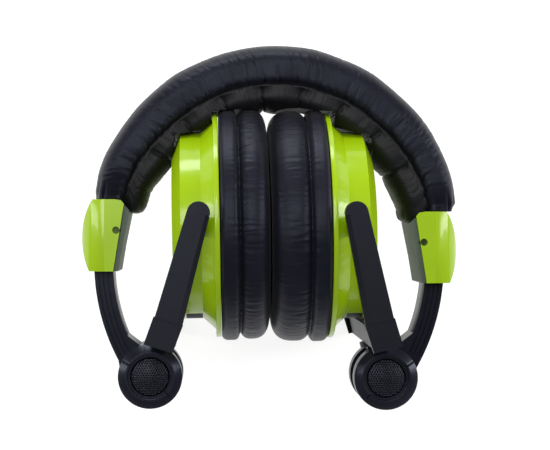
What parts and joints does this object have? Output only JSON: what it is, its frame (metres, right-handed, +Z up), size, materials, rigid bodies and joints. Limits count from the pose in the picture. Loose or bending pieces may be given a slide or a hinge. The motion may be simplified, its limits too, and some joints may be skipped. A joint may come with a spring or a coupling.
{
  "type": "folding over-ear headset",
  "caption": "Folding over-ear headset with a padded spring headband, sliding arms, round fold hubs, fork yokes and flat-backed drum cups with soft ear pads.",
  "frame": {"origin": "middle of the bounding box at its underside, where the yokes touch the ground", "axes": "+X across the headset from its left to its right, +Y from the fold hubs to the crown of the headband, +Z up through the depth of the headband"},
  "size_m": [0.1565, 0.1512, 0.1064],
  "materials": {
    "band_leatherette": "grained black leatherette, soft sheen",
    "cushion_leatherette": "grained black leatherette, softly folded",
    "pad_leatherette": "smooth black leatherette with fine wrinkles",
    "lime_gloss": "glossy lime green moulded plastic",
    "grey_green": "satin grey-green moulded plastic",
    "black_plastic": "satin black moulded plastic",
    "black_satin": "semi-gloss black moulded plastic",
    "yoke_black": "fine-textured satin black",
    "cap_textured": "pimpled black, matte",
    "insert_black": "matte black",
    "steel": "bright steel",
    "dark_screw": "blackened steel",
    "film": "thin polymer film"
  },
  "bodies": {
    "headband": {"headband_cover": "band_leatherette", "headband_cushion": "cushion_leatherette", "spring_strip": "steel"},
    "left_clamp": {"left_clamp_shell": "lime_gloss", "left_clamp_liner": "grey_green", "left_clamp_screw": "dark_screw", "left_detent_spring": "steel"},
    "left_slider": {"left_slider_arm": "black_plastic", "left_hub_ring_front": "black_satin", "left_hub_ring_rear": "black_satin", "left_hub_caps": "cap_textured", "left_fold_pin": "steel"},
    "left_knuckle": {"left_knuckle": "black_plastic", "left_stem_pin": "steel"},
    "left_yoke": {"left_yoke": "yoke_black", "left_pivot_studs": "steel"},
    "left_cup": {"left_cup_shell": "lime_gloss", "left_flange_ring": "lime_gloss", "left_cable_insert": "insert_black", "left_baffle": "black_plastic", "left_baffle_screws": "dark_screw", "left_driver_frame": "black_plastic", "left_driver_magnet": "steel", "left_diaphragm": "film", "left_grille": "black_plastic", "left_pad_ring": "black_plastic", "left_ear_pad": "pad_leatherette"},
    "right_clamp": {"right_clamp_shell": "lime_gloss", "right_clamp_liner": "grey_green", "right_clamp_screw": "dark_screw", "right_detent_spring": "steel"},
    "right_slider": {"right_slider_arm": "black_plastic", "right_hub_ring_front": "black_satin", "right_hub_ring_rear": "black_satin", "right_hub_caps": "cap_textured", "right_fold_pin": "steel"},
    "right_knuckle": {"right_knuckle": "black_plastic", "right_stem_pin": "steel"},
    "right_yoke": {"right_yoke": "yoke_black", "right_pivot_studs": "steel"},
    "right_cup": {"right_cup_shell": "lime_gloss", "right_flange_ring": "lime_gloss", "right_cable_insert": "insert_black", "right_baffle": "black_plastic", "right_baffle_screws": "dark_screw", "right_driver_frame": "black_plastic", "right_driver_magnet": "steel", "right_diaphragm": "film", "right_grille": "black_plastic", "right_pad_ring": "black_plastic", "right_ear_pad": "pad_leatherette"}
  },
  "joints": [
    {"name": "left_band_flex", "type": "hinge", "parent": "headband", "child": "left_clamp", "pos_m": [-0.0695, 0.0117, 0.0532], "axis": [0, 0, -1], "range_deg": [0, 14.5], "deforming": ["spring_strip", "headband_cover"]},
    {"name": "left_slider", "type": "slide", "parent": "left_clamp", "child": "left_slider", "axis": [0, -1, 0], "range_m": [0, 0.014]},
    {"name": "left_fold", "type": "hinge", "parent": "left_slider", "child": "left_knuckle", "pos_m": [-0.0502, -0.061, 0.0532], "axis": [0, 0, -1], "range_deg": [0, 145], "deforming": ["left_ear_pad"]},
    {"name": "left_swivel", "type": "hinge", "parent": "left_knuckle", "child": "left_yoke", "pos_m": [-0.0502, -0.061, 0.0532], "axis": [0.289, 0.9573, 0], "range_deg": [-8, 8]},
    {"name": "left_cup_tilt", "type": "hinge", "parent": "left_yoke", "child": "left_cup", "pos_m": [-0.03141, 0.00123, 0.0532], "axis": [0, 0, -1], "range_deg": [-159.51, 0]},
    {"name": "right_band_flex", "type": "hinge", "parent": "headband", "child": "right_clamp", "pos_m": [0.0678, 0.0067, 0.0532], "axis": [0, 0, 1], "range_deg": [0, 14.5], "deforming": ["headband_cushion"]},
    {"name": "right_slider", "type": "slide", "parent": "right_clamp", "child": "right_slider", "axis": [0, -1, 0], "range_m": [0, 0.02]},
    {"name": "right_fold", "type": "hinge", "parent": "right_slider", "child": "right_knuckle", "pos_m": [0.047, -0.062, 0.0532], "axis": [0, 0, 1], "range_deg": [0, 145], "deforming": ["right_ear_pad"]},
    {"name": "right_swivel", "type": "hinge", "parent": "right_knuckle", "child": "right_yoke", "pos_m": [0.047, -0.062, 0.0532], "axis": [-0.2317, 0.9728, 0], "range_deg": [-8, 8]},
    {"name": "right_cup_tilt", "type": "hinge", "parent": "right_yoke", "child": "right_cup", "pos_m": [0.03194, 0.00123, 0.0532], "axis": [0, 0, 1], "range_deg": [-159.51, 0]}
  ],
  "couplings": [
    {"joint": "left_band_flex", "follows": "left_fold", "ratio": 0.1},
    {"joint": "left_cup_tilt", "follows": "left_fold", "ratio": -1.1},
    {"joint": "right_band_flex", "follows": "right_fold", "ratio": 0.1},
    {"joint": "right_cup_tilt", "follows": "right_fold", "ratio": -1.1}
  ]
}
